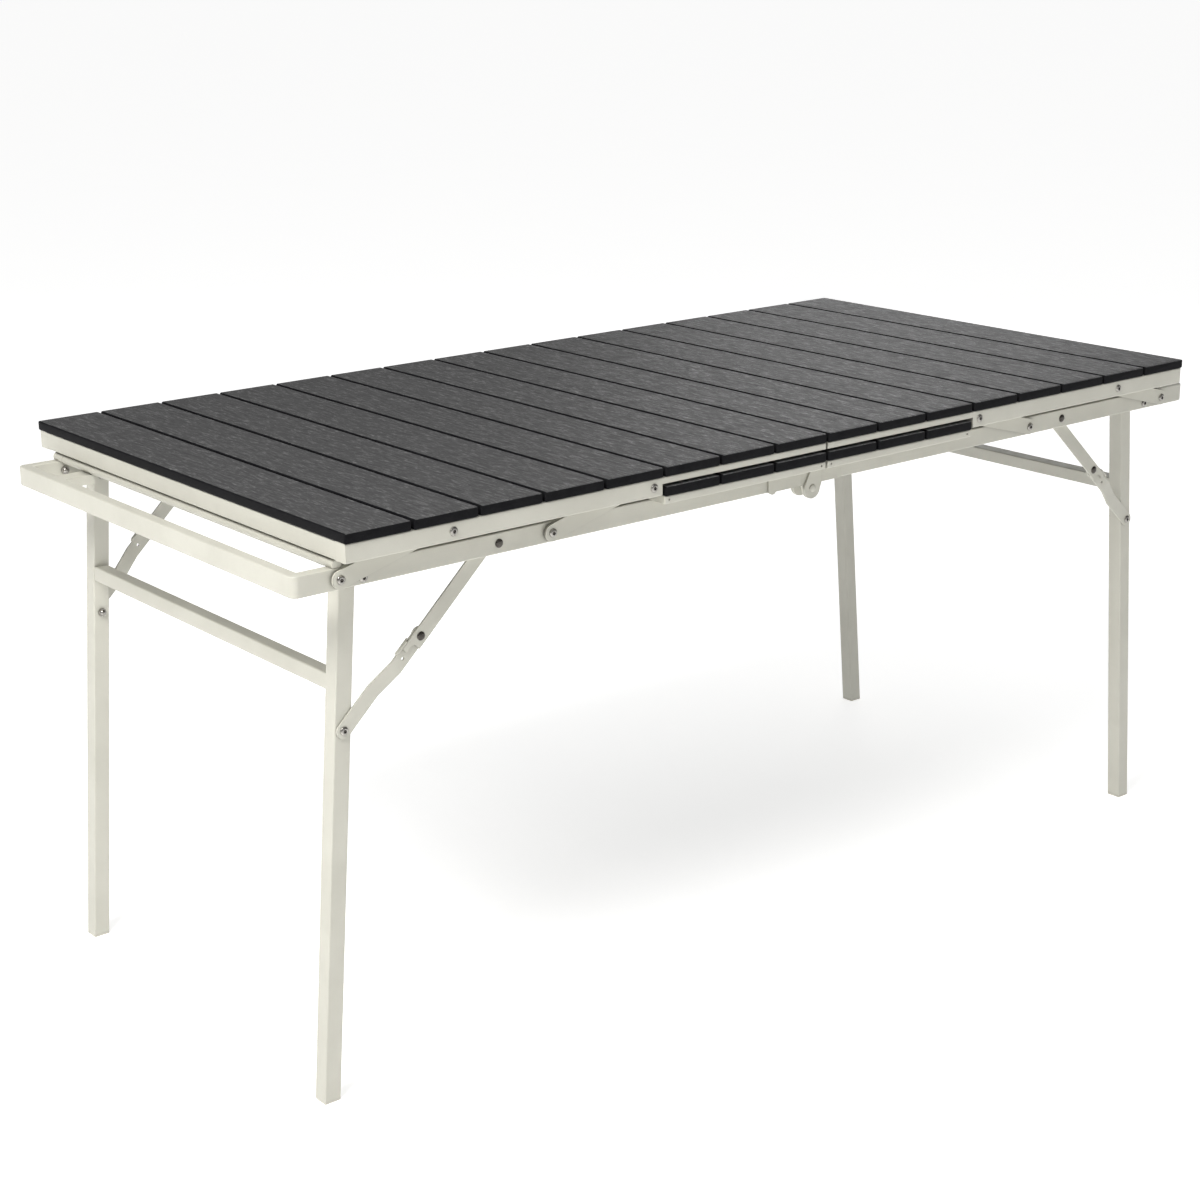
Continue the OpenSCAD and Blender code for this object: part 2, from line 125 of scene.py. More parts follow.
def remap(tree, value, low, high, to_low=0.0, to_high=1.0):
    """Smooth step of a value from one range to another, held at the ends."""
    node = tree.nodes.new("ShaderNodeMapRange")
    node.interpolation_type = "SMOOTHSTEP"
    connect(tree, value, node.inputs["Value"])
    node.inputs["From Min"].default_value = low
    node.inputs["From Max"].default_value = high
    node.inputs["To Min"].default_value = to_low
    node.inputs["To Max"].default_value = to_high
    return node.outputs["Result"]


def mix_colour(tree, factor, a, b):
    """Colour a where the factor is 0 and colour b where it is 1."""
    node = tree.nodes.new("ShaderNodeMix")
    node.data_type = "RGBA"
    connect(tree, factor, node.inputs[0])
    connect(tree, a, node.inputs[6])
    connect(tree, b, node.inputs[7])
    return node.outputs[2]


def bump(tree, height, distance, strength, normal=None):
    """A normal tilted by a height pattern, on top of another normal if one is given."""
    node = tree.nodes.new("ShaderNodeBump")
    node.inputs["Strength"].default_value = strength
    node.inputs["Distance"].default_value = distance
    connect(tree, height, node.inputs["Height"])
    if normal is not None:
        connect(tree, normal, node.inputs["Normal"])
    return node.outputs["Normal"]


def tint(red, green, blue):
    """An opaque colour."""
    return (red, green, blue, 1)


def edge_mask(tree, radius):
    """1 on sharp edges and 0 on flats: how far a rounded normal leans from the true one."""
    rounded = tree.nodes.new("ShaderNodeBevel")
    rounded.samples = 4
    rounded.inputs["Radius"].default_value = radius
    plain = tree.nodes.new("ShaderNodeNewGeometry")
    dot = tree.nodes.new("ShaderNodeVectorMath")
    dot.operation = "DOT_PRODUCT"
    tree.links.new(rounded.outputs["Normal"], dot.inputs[0])
    tree.links.new(plain.outputs["Normal"], dot.inputs[1])
    return remap(tree, dot.outputs["Value"], 0.98, 0.75)


def crevice_mask(tree, distance):
    """0 in the open and 1 deep in corners and gaps narrower than the distance, where painted shade
    goes.
    """
    occlusion = tree.nodes.new("ShaderNodeAmbientOcclusion")
    occlusion.samples = 6
    occlusion.inputs["Distance"].default_value = distance
    return remap(tree, occlusion.outputs["AO"], 0.92, 0.30)


# ---------- materials ----------

def powder_coat():
    """Ivory powder coat: orange-peel skin, faint mottling, duller edges and painted shade in crevices.
    """
    material, tree, shader = new_material("powder_coat")
    coords = object_coords(tree)
    mottle = noise_value(tree, coords, 9.0, 4.0, 0.6)
    grain = noise_value(tree, coords, 1900.0, 2.0)
    peel = noise_value(tree, coords, 420.0, 2.0, 0.45)
    scuffs = noise_value(tree, coords, 70.0, 6.0, 0.75)
    shade, cream = tint(0.538, 0.528, 0.462), tint(0.586, 0.576, 0.508)
    tone = mix_colour(tree, remap(tree, mottle, 0.3, 0.7), shade, cream)
    tone = mix_colour(tree, remap(tree, grain, 0.56, 0.74, 0.0, 0.35), tone, tint(0.465, 0.455, 0.39))
    edges = edge_mask(tree, 1.1 * MM)
    worn = maths(tree, "MULTIPLY", edges, remap(tree, scuffs, 0.52, 0.70))
    tone = mix_colour(tree, maths(tree, "MULTIPLY", edges, 0.22), tone, tint(0.42, 0.41, 0.34))
    tone = mix_colour(tree, maths(tree, "MULTIPLY", worn, 0.40), tone, tint(0.31, 0.30, 0.28))
    # Painted shade: the coat turns near-black in corners and narrow gaps, where shade falls.
    painted_crevice_shade = maths(tree, "MULTIPLY", crevice_mask(tree, 8 * MM), 0.50)
    tone = mix_colour(tree, painted_crevice_shade, tone, tint(0.110, 0.104, 0.088))
    connect(tree, tone, shader.inputs["Base Color"])
    rough = remap(tree, scuffs, 0.25, 0.75, 0.36, 0.50)
    connect(tree, rough, shader.inputs["Roughness"])
    shader.inputs["Specular IOR Level"].default_value = 0.45
    skin = bump(tree, peel, 0.10 * MM, 0.45)
    connect(tree, bump(tree, grain, 0.02 * MM, 0.4, skin), shader.inputs["Normal"])
    return material


def slat_face():
    """Charcoal composite with an embossed grain that runs along the slat."""
    material, tree, shader = new_material("slat_face")
    drift = noise_value(tree, object_coords(tree, (14, 3.0, 14)), 1.0, 2.0)
    coords = object_coords(tree, (620, 15, 620))
    shift = tree.nodes.new("ShaderNodeVectorMath")
    shift.operation = "ADD"
    tree.links.new(coords, shift.inputs[0])
    sway = tree.nodes.new("ShaderNodeCombineXYZ")
    connect(tree, maths(tree, "MULTIPLY", drift, 9.0), sway.inputs["X"])
    tone_attribute = tree.nodes.new("ShaderNodeAttribute")
    tone_attribute.attribute_name = "slat_tone"
    connect(tree, maths(tree, "MULTIPLY", tone_attribute.outputs["Fac"], 40.0), sway.inputs["Z"])
    tree.links.new(sway.outputs[0], shift.inputs[1])
    streaks = noise_value(tree, shift.outputs[0], 1.0, 5.0, 0.62, 0.6)
    bands = noise_value(tree, shift.outputs[0], 0.16, 3.0, 0.55, 0.4)
    emboss = noise_value(tree, object_coords(tree, (250, 40, 250)), 1.0, 6.0, 0.72, 0.9)
    flecks = noise_value(tree, object_coords(tree, (900, 85, 900)), 1.0, 3.0, 0.65)
    pores = noise_value(tree, object_coords(tree, (2600, 60, 2600)), 1.0, 2.0)
    dark, mid = tint(0.049, 0.049, 0.050), tint(0.071, 0.071, 0.072)
    light = tint(0.360, 0.360, 0.360)
    tone = mix_colour(tree, remap(tree, streaks, 0.34, 0.62), dark, mid)
    tone = mix_colour(tree, remap(tree, bands, 0.35, 0.70, 0.0, 0.25), tone, tint(0.078, 0.078, 0.079))
    lit = maths(tree, "MULTIPLY", remap(tree, flecks, 0.47, 0.60), remap(tree, emboss, 0.50, 0.60))
    tone = mix_colour(tree, maths(tree, "MULTIPLY", lit, 0.75), tone, light)
    tone = mix_colour(tree, remap(tree, emboss, 0.44, 0.30, 0.0, 0.55), tone, tint(0.016, 0.016, 0.017))
    tone = mix_colour(tree, remap(tree, pores, 0.62, 0.72, 0.0, 0.5), tone, tint(0.024, 0.024, 0.025))
    level = remap(tree, tone_attribute.outputs["Fac"], 0.0, 1.0, 0.0, 0.28)
    tone = mix_colour(tree, level, tone, tint(0.046, 0.046, 0.047))
    connect(tree, tone, shader.inputs["Base Color"])
    connect(tree, remap(tree, emboss, 0.35, 0.65, 0.62, 0.42), shader.inputs["Roughness"])
    shader.inputs["Specular IOR Level"].default_value = 0.5
    relief = bump(tree, emboss, 0.80 * MM, 0.9)
    fine = bump(tree, flecks, 0.12 * MM, 0.6, relief)
    connect(tree, bump(tree, pores, 0.06 * MM, 0.5, fine), shader.inputs["Normal"])
    return material


def slat_edge():
    """The slats' moulded sides and sawn ends: darker, with fine extrusion lines."""
    material, tree, shader = new_material("slat_edge")
    lines = noise_value(tree, object_coords(tree, (60, 12, 2400)), 1.0, 3.0)
    cloud = noise_value(tree, object_coords(tree), 60.0, 4.0, 0.6)
    pits = noise_value(tree, object_coords(tree), 1400.0, 2.0)
    shade, charcoal = tint(0.004, 0.004, 0.005), tint(0.009, 0.009, 0.010)
    tone = mix_colour(tree, remap(tree, cloud, 0.3, 0.7), shade, charcoal)
    tone = mix_colour(tree, remap(tree, pits, 0.60, 0.72, 0.0, 0.6), tone, tint(0.026, 0.026, 0.028))
    connect(tree, tone, shader.inputs["Base Color"])
    connect(tree, remap(tree, cloud, 0.2, 0.8, 0.50, 0.66), shader.inputs["Roughness"])
    shader.inputs["Specular IOR Level"].default_value = 0.08
    relief = bump(tree, lines, 0.05 * MM, 0.5)
    connect(tree, bump(tree, pits, 0.05 * MM, 0.5, relief), shader.inputs["Normal"])
    return material


def turned_steel():
    """Stainless fasteners: cloudy steel with fine tool marks."""
    material, tree, shader = new_material("turned_steel")
    marks = noise_value(tree, object_coords(tree, (900, 5200, 900)), 1.0, 3.0, 0.6)
    smoke = noise_value(tree, object_coords(tree), 300.0, 3.0, 0.6)
    smoked, bright = tint(0.25, 0.240, 0.222), tint(0.46, 0.443, 0.414)
    tone = mix_colour(tree, remap(tree, smoke, 0.3, 0.7), smoked, bright)
    connect(tree, tone, shader.inputs["Base Color"])
    shader.inputs["Metallic"].default_value = 1.0
    connect(tree, remap(tree, marks, 0.3, 0.7, 0.20, 0.36), shader.inputs["Roughness"])
    connect(tree, bump(tree, marks, 0.02 * MM, 0.5), shader.inputs["Normal"])
    return material


def rivet_black_and_socket_shade():
    """Blackened rivets, and painted shade inside the sockets: dark metal with a brown cast and faint
    tool marks.
    """
    material, tree, shader = new_material("rivet_black_and_socket_shade")
    smoke = noise_value(tree, object_coords(tree), 260.0, 4.0, 0.6)
    marks = noise_value(tree, object_coords(tree, (1400, 3200, 1400)), 1.0, 3.0, 0.6)
    black, brown = tint(0.045, 0.040, 0.036), tint(0.10, 0.092, 0.082)
    tone = mix_colour(tree, remap(tree, smoke, 0.3, 0.7), black, brown)
    connect(tree, tone, shader.inputs["Base Color"])
    shader.inputs["Metallic"].default_value = 0.75
    connect(tree, remap(tree, marks, 0.3, 0.7, 0.16, 0.30), shader.inputs["Roughness"])
    connect(tree, bump(tree, marks, 0.015 * MM, 0.4), shader.inputs["Normal"])
    return material


def cap_plastic():
    """Moulded foot caps: pale plastic with a fine matte texture and scuffed edges."""
    material, tree, shader = new_material("cap_plastic")
    coords = object_coords(tree)
    texture = noise_value(tree, coords, 1300.0, 2.0)
    dirt = noise_value(tree, coords, 120.0, 5.0, 0.7)
    clean, dusty = tint(0.66, 0.64, 0.57), tint(0.52, 0.50, 0.44)
    tone = mix_colour(tree, remap(tree, dirt, 0.35, 0.75), clean, dusty)
    scuffed = maths(tree, "MULTIPLY", edge_mask(tree, 0.8 * MM), 0.35)
    tone = mix_colour(tree, scuffed, tone, tint(0.36, 0.34, 0.30))
    connect(tree, tone, shader.inputs["Base Color"])
    connect(tree, remap(tree, dirt, 0.3, 0.7, 0.50, 0.68), shader.inputs["Roughness"])
    connect(tree, bump(tree, texture, 0.04 * MM, 0.6), shader.inputs["Normal"])
    return material


COAT = powder_coat()
SLAT_FACE = slat_face()
SLAT_EDGE = slat_edge()
STEEL = turned_steel()
RIVET_BLACK_AND_SOCKET_SHADE = rivet_black_and_socket_shade()
CAP = cap_plastic()
FINISH = {"coat": COAT, "steel": STEEL, "cap": CAP}


# ---------- mesh helpers ----------

WELD_DISTANCE = 0.002 * MM
FLAT_ANGLE = math.radians(0.6)
SHARP_ANGLE = math.radians(40)


def make_object(name, mesh, body, slot, *materials):
    """Links a mesh as a piece that rides on a body and takes the given materials. The slot argument is
    not used.
    """
    piece = bpy.data.objects.new(name, mesh)
    bpy.context.scene.collection.objects.link(piece)
    for material in materials:
        mesh.materials.append(material)
    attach(piece, body)
    return piece


def smooth_by_angle(mesh, degrees):
    """Shades a mesh smooth, but keeps edges sharper than the angle."""
    mesh.polygons.foreach_set("use_smooth", [True] * len(mesh.polygons))
    mesh.set_sharp_from_angle(angle=math.radians(degrees))


def body_of_node(node):
    """The CAD body that a node rides on."""
    return NODES[node]["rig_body"]


def slot_of_node(node):
    """The material slot that the record gives a node."""
    rows = frame["record"]["subparts"]
    return next(row["material_slot"] for row in rows if row["node"] == node)


def welded_copy(node):
    """A CAD node's mesh with its shared points joined."""
    bm = bmesh.new()
    bm.from_mesh(NODES[node].data)
    bmesh.ops.remove_doubles(bm, verts=bm.verts, dist=WELD_DISTANCE)
    bm.verts.index_update()
    return bm


def joined_points(start, seen):
    """The points of the solid that holds a vertex. Adds their indices to seen."""
    seen.add(start.index)
    stack, points = [start], []
    while stack:
        vert = stack.pop()
        points.append(vert.co.copy())
        for edge in vert.link_edges:
            other = edge.other_vert(vert)
            if other.index not in seen:
                seen.add(other.index)
                stack.append(other)
    return points


def islands(node):
    """The boxes of a node's separate solids, as (lowest, highest) pairs sorted by X, then Y."""
    bm = welded_copy(node)
    seen, boxes = set(), []
    for start in bm.verts:
        if start.index not in seen:
            points = joined_points(start, seen)
            low = Vector([min(p[i] for p in points) for i in range(3)])
            high = Vector([max(p[i] for p in points) for i in range(3)])
            boxes.append((low, high))
    bm.free()
    return sorted(boxes, key=lambda pair: (round(pair[0].x, 4), round(pair[0].y, 4)))


def mesh_from(bm, name, degrees=32.0):
    """Turns a finished bmesh into a mesh that is smooth up to an angle."""
    mesh = bpy.data.meshes.new(name)
    bm.to_mesh(mesh)
    bm.free()
    smooth_by_angle(mesh, degrees)
    return mesh


def softened(node, width, segments=2):
    """A copy of a CAD node with its sharp edges rounded, standing for that node."""
    bm = welded_copy(node)
    bmesh.ops.dissolve_limit(bm, angle_limit=FLAT_ANGLE, verts=bm.verts, edges=bm.edges)
    sharp = [
        edge for edge in bm.edges
        if len(edge.link_faces) == 2 and edge.calc_face_angle(0) > SHARP_ANGLE
    ]
    bmesh.ops.bevel(
        bm, geom=sharp, offset=width, offset_type="OFFSET", segments=segments, profile=0.5,
        affect="EDGES", clamp_overlap=True,
    )
    bmesh.ops.triangulate(bm, faces=[f for f in bm.faces if len(f.verts) > 4])
    mesh = mesh_from(bm, f"{node}_finished")
    slot = slot_of_node(node)
    piece = make_object(f"{node}_finished", mesh, body_of_node(node), slot, FINISH[slot])
    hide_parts(node)
    weighted = piece.modifiers.new("flat_faces", "WEIGHTED_NORMAL")
    weighted.keep_sharp = True


# ---------- fasteners ----------

RING_POINTS = 48
HEAD_HEIGHT = 2.2 * MM
HEAD_RADIUS = 5.3 * MM
SOCKET = 2.0 * MM
SOCKET_DEPTH = 1.3 * MM
BOLT_RADIUS = 3.0 * MM
NUT_APOTHEM = 4.85 * MM
CAP_NUT_HEIGHT = 3.6 * MM
CAP_DOME_HEIGHT = 3.2 * MM
THIN_NUT_HEIGHT = 2.2 * MM
RIVET_TAIL_RADIUS = 5.1 * MM
RIVET_TAIL_HEIGHT = 1.6 * MM
TAIL_HEIGHTS = {
    "cap": CAP_NUT_HEIGHT + CAP_DOME_HEIGHT,
    "thin": THIN_NUT_HEIGHT,
    "rivet": RIVET_TAIL_HEIGHT,
    "flush": 0.0,
}
PIN_HEAD = 2.2 * MM
PIN_TAIL = 1.4 * MM
PIN_RADIUS = 2.45 * MM
SCREW_HEAD_HEIGHT = 1.2 * MM
SCREW_RADIUS = 2.0 * MM
SCREW_SOCKET = 1.35 * MM
SCREW_SOCKET_DEPTH = 0.7 * MM
THREAD_PITCH = 1.0 * MM


def hex_radius(apothem, angle):
    """Radius of a hexagon's outline in one direction."""
    sector = math.radians(60)
    return apothem / math.cos((angle % sector) - sector / 2)


def revolve(bm, origin, along, rings, points=RING_POINTS):
    """Skin of rings round an axis. Each ring is (distance along, radius or outline function)."""
    along = along.normalized()
    side = along.orthogonal().normalized()
    other = along.cross(side)
    layers = []
    for distance, radius in rings:
        layer = []
        for i in range(points):
            angle = 2 * math.pi * i / points
            r = radius(angle) if callable(radius) else radius
            direction = side * math.cos(angle) + other * math.sin(angle)
            layer.append(bm.verts.new(origin + along * distance + direction * r))
        layers.append(layer)
    for lower, upper in zip(layers, layers[1:]):
        for i in range(points):
            j = (i + 1) % points
            bm.faces.new((lower[i], lower[j], upper[j], upper[i]))
    bm.faces.new(list(reversed(layers[0])))
    bm.faces.new(layers[-1])


def mark_blackened_and_shaded(bm, first_face):
    """Gives the faces made since first_face the dark finish: blackened metal on rivets, painted shade
    inside sockets.
    """
    bm.faces.ensure_lookup_table()
    for face in bm.faces[first_face:]:
        face.material_index = 1


def dome(radius, height, base, steps=7):
    """Rings of a dome that closes from the base radius up to its crown."""
    rings = []
    for i in range(steps + 1):
        turn = math.pi / 2 * i / steps
        rings.append((base + height * math.sin(turn), max(radius * math.cos(turn), 0.25 * MM)))
    return rings


def socket_head(bm, seat, outward, radius, height, socket, depth):
    """Button head with a hexagon socket, sitting on a seat and facing outward."""
    def socket_outline(angle):
        return hex_radius(socket, angle)
    rim = 0.22 * height
    crown = math.radians(58)
    steps = 6
    rings = [(0.0, radius * 0.97), (0.02 * height, radius), (rim, radius)]
    for i in range(1, steps + 1):
        turn = crown * i / steps
        spread = radius * (1 - 0.46 * (1 - math.cos(turn)) / (1 - math.cos(crown)))
        rings.append((rim + (height - rim) * math.sin(turn) / math.sin(crown), spread))
    rings.append((height, socket * 1.24))
    rings.append((height - 0.25 * MM, socket_outline))
    rings.append((height - depth, socket_outline))
    rings.append((height - depth - 0.35 * MM, 0.4 * MM))
    revolve(bm, seat, outward, rings)
    # Painted shade: the socket's walls and floor take the near-black finish, as if shade fell inside
    # it.
    mark_blackened_and_shaded(bm, len(bm.faces) - 2 * RING_POINTS - 2)


def nut_outline(apothem, chamfer):
    """Hexagon whose corners are cut off by a circle of the chamfer radius."""
    return lambda angle: min(hex_radius(apothem, angle), chamfer)


def hex_body(apothem, height):
    """Rings of a hexagon nut with chamfered corners on both faces."""
    corner = apothem / math.cos(math.radians(30))
    steps = [(0.0, 0.93), (0.05, 0.955), (0.12, 1.0), (0.88, 1.0), (0.95, 0.955), (1.0, 0.93)]
    return [(height * share, nut_outline(apothem, corner * cut)) for share, cut in steps]


def cap_nut(bm, seat, outward):
    """Hexagon nut closed by a dome."""
    rings = hex_body(NUT_APOTHEM, CAP_NUT_HEIGHT)
    rings += dome(NUT_APOTHEM * 0.86, CAP_DOME_HEIGHT, CAP_NUT_HEIGHT)
    revolve(bm, seat, outward, rings)


def plain_nut(bm, seat, outward):
    """Thin nut with the bolt's threaded end standing just proud of it."""
    height = THIN_NUT_HEIGHT
    rings = hex_body(NUT_APOTHEM, height)
    rings += [(height, BOLT_RADIUS * 1.18), (height - 0.3 * MM, BOLT_RADIUS * 0.98)]
    rings += [(height, BOLT_RADIUS * 0.98), (height + 0.05 * MM, BOLT_RADIUS * 0.86)]
    revolve(bm, seat, outward, rings)


def rivet_head(bm, seat, outward, radius, height):
    """Domed head with a short upright rim."""
    rings = [(0.0, radius * 0.96), (0.05 * height, radius), (0.16 * height, radius)]
    rings += dome(radius, 0.84 * height, 0.16 * height, 9)[1:]
    revolve(bm, seat, outward, rings)


def shank(bm, start, outward, radius, length):
    """Shank with a fine thread-like ripple, mostly hidden inside its bores."""
    turns = max(2, int(length / THREAD_PITCH))
    rings = []
    for i in range(2 * turns + 1):
        rings.append((length * i / (2 * turns), radius * (0.985 if i % 2 else 0.93)))
    revolve(bm, start, outward, rings)


def finish_bolts(node, bm, finish=STEEL):
    """Makes fasteners one piece that stands for its node. Faces marked dark take the dark finish:
    blackened rivets, and painted shade in the sockets.
    """
    bmesh.ops.recalc_face_normals(bm, faces=bm.faces)
    mesh = mesh_from(bm, f"{node}_detail", 38.0)
    piece = make_object(f"{node}_detail", mesh, body_of_node(node), slot_of_node(node), finish, RIVET_BLACK_AND_SOCKET_SHADE)
    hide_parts(node)


def outer_end_of(low, high):
    """Where a crosswise fastener's outer end is, the way inward, its radius and its length."""
    front = low.y + high.y < 0
    inward = Vector((0, 1 if front else -1, 0))
    outer = Vector(((low.x + high.x) / 2, low.y if front else high.y, (low.z + high.z) / 2))
    return outer, inward, (high.x - low.x) / 2, high.y - low.y


def add_bolt(bm, low, high, outer_end, inner_end):
    """One bolt or rivet that fills a box: its head, its shank and its nut or formed tail."""
    outer, inward, radius, length = outer_end_of(low, high)
    seat = outer + inward * HEAD_HEIGHT
    head_radius = min(radius, HEAD_RADIUS)
    first_face = len(bm.faces)
    if outer_end == "socket":
        socket_head(bm, seat, -inward, head_radius, HEAD_HEIGHT, SOCKET, SOCKET_DEPTH)
    else:
        rivet_head(bm, seat, -inward, head_radius, HEAD_HEIGHT)
    tail = TAIL_HEIGHTS[inner_end]
    tail_seat = outer + inward * (length - tail)
    if inner_end == "cap":
        cap_nut(bm, tail_seat, inward)
    elif inner_end == "thin":
        plain_nut(bm, tail_seat, inward)
    elif inner_end == "rivet":
        rivet_head(bm, tail_seat, inward, RIVET_TAIL_RADIUS, tail)
    shank(bm, seat, inward, BOLT_RADIUS, length - HEAD_HEIGHT - tail)
    if outer_end == "rivet":
        mark_blackened_and_shaded(bm, first_face)


def bolt_set(node, ends):
    """A node's bolts. ends names each bolt's outer and inner end, in order from the centre."""
    bm = bmesh.new()
    boxes = islands(node)
    for front in (True, False):
        row = [b for b in boxes if (b[0].y + b[1].y < 0) == front]
        row.sort(key=lambda b: abs(b[0].x + b[1].x))
        for (low, high), (outer_end, inner_end) in zip(row, ends):
            add_bolt(bm, low, high, outer_end, inner_end)
    finish_bolts(node, bm)


def screw_set(node):
    """Slat screws seen from below: a low round head with a socket, and its shank."""
    bm = bmesh.new()
    down = Vector((0, 0, -1))
    for low, high in islands(node):
        radius = (high.x - low.x) / 2
        seat = Vector(((low.x + high.x) / 2, (low.y + high.y) / 2, low.z + SCREW_HEAD_HEIGHT))
        socket_head(bm, seat, down, radius, SCREW_HEAD_HEIGHT, SCREW_SOCKET, SCREW_SOCKET_DEPTH)
        shank(bm, seat, -down, SCREW_RADIUS, high.z - seat.z)
    finish_bolts(node, bm)


def pin_set(node):
    """Hinge pins: a domed head outside, a plain shank and a smaller formed tail inside."""
    bm = bmesh.new()
    for low, high in islands(node):
        outer, inward, radius, length = outer_end_of(low, high)
        seat = outer + inward * PIN_HEAD
        rivet_head(bm, seat, -inward, radius, PIN_HEAD)
        rivet_head(bm, outer + inward * (length - PIN_TAIL), inward, 0.8 * radius, PIN_TAIL)
        revolve(bm, seat, inward, [(0.0, PIN_RADIUS), (length - PIN_HEAD - PIN_TAIL, PIN_RADIUS)])
    finish_bolts(node, bm, COAT)


# ---------- slats ----------

EDGE_RADIUS = 2.0 * MM
END_RADIUS = 0.9 * MM
RELIEF = 0.14 * MM
GRAIN_STEP_ACROSS = 1.6 * MM
GRAIN_STEP_ALONG = 12.0 * MM
ARC_STEPS = 5
END_STEPS = 4
UNDERSIDE_STEPS = 8
FADE = 10 * MM
TOP_NORMAL = 0.93


def slat_profile(width, height):
    """Cross-section points (x, z, normal x, normal z, on the top face), anticlockwise."""
    points = []
    corners = [
        (width - EDGE_RADIUS, EDGE_RADIUS, -90),
        (width - EDGE_RADIUS, height - EDGE_RADIUS, 0),
        (EDGE_RADIUS, height - EDGE_RADIUS, 90),
        (EDGE_RADIUS, EDGE_RADIUS, 180),
    ]
    flats = {1: int((width - 2 * EDGE_RADIUS) / GRAIN_STEP_ACROSS), 3: UNDERSIDE_STEPS}
    for k, (cx, cz, start) in enumerate(corners):
        for i in range(ARC_STEPS + 1):
            angle = math.radians(start + 90 * i / ARC_STEPS)
            nx, nz = math.cos(angle), math.sin(angle)
            points.append((cx + EDGE_RADIUS * nx, cz + EDGE_RADIUS * nz, nx, nz, False))
        if k in flats:
            next_x = corners[(k + 1) % 4][0]
            for i in range(1, flats[k]):
                x = cx + (next_x - cx) * i / flats[k]
                z = height if k == 1 else 0.0
                points.append((x, z, 0.0, 1.0 if k == 1 else -1.0, k == 1))
    return points


def slat_stations(length):
    """Places along the slat with how far the section shrinks there: rounded ends, even middle."""
    ends = []
    for i in range(END_STEPS + 1):
        turn = math.pi / 2 * i / END_STEPS
        ends.append((END_RADIUS * (1 - math.cos(turn)), END_RADIUS * (1 - math.sin(turn))))
    count = int((length - 2 * END_RADIUS) / GRAIN_STEP_ALONG)
    step = (length - 2 * END_RADIUS) / count
    middle = [(END_RADIUS + step * i, 0.0) for i in range(1, count)]
    return ends + middle + [(length - place, inset) for place, inset in reversed(ends)]


def slat_points(low, high, index, profile, stations):
    """The slat's points, section by section, with its top face pressed in by the grain."""
    points = []
    for place, inset in stations:
        y = low.y + place
        fade = min(1.0, place / FADE, (high.y - y) / FADE)
        for x, z, nx, nz, on_top in profile:
            depth = 0.0
            if on_top and inset == 0.0:
                at = Vector(((low.x + x) * 260, y * 7, index * 3.7))
                depth = RELIEF * (0.5 + 0.5 * noise.noise(at)) * fade
            points.append((low.x + x - nx * inset, y, low.z + z - nz * inset - depth))
    return points


def slat_faces(profile, sections):
    """The slat's faces and their finishes: 0 on the top face, 1 on its edges, ends and underside."""
    n = len(profile)
    faces, kinds = [], []
    for s in range(sections - 1):
        for i in range(n):
            j = (i + 1) % n
            faces.append((s * n + i, (s + 1) * n + i, (s + 1) * n + j, s * n + j))
            top = profile[i][3] > TOP_NORMAL and profile[j][3] > TOP_NORMAL
            kinds.append(0 if top else 1)
    faces.append(tuple(range(n)))
    faces.append(tuple(reversed(range((sections - 1) * n, sections * n))))
    return faces, kinds + [1, 1]


def slat_piece(name, low, high, node, index):
    """One slat with rounded edges and an embossed, lengthwise grain on its top face."""
    profile = slat_profile(high.x - low.x, high.z - low.z)
    stations = slat_stations(high.y - low.y)
    verts = slat_points(low, high, index, profile, stations)
    faces, kinds = slat_faces(profile, len(stations))
    mesh = bpy.data.meshes.new(name)
    mesh.from_pydata(verts, [], faces)
    mesh.polygons.foreach_set("material_index", kinds)
    tone = mesh.attributes.new("slat_tone", "FLOAT", "POINT")
    value = 0.5 + 0.5 * math.sin(index * 12.9898 + len(name) * 4.1)
    tone.data.foreach_set("value", [value] * len(verts))
    smooth_by_angle(mesh, 40.0)
    piece = make_object(name, mesh, body_of_node(node), "slat", SLAT_FACE, SLAT_EDGE)
    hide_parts(node)


def slat_row(node):
    """A piece for every slat of a node, numbered from the left."""
    for i, (low, high) in enumerate(islands(node)):
        slat_piece(f"{node[:-1]}_{i + 1}", low, high, node, i + 1)


# ---------- brace stops ----------

LIP_START = 14.0 * MM
LIP_LENGTH = 20.0 * MM
LIP_TAPER = 2.2 * MM
LIP_LOW = 9.75 * MM
LIP_THICK = 1.95 * MM
LIP_REACH = 2.9 * MM
LIP_ROOT = 1.8 * MM


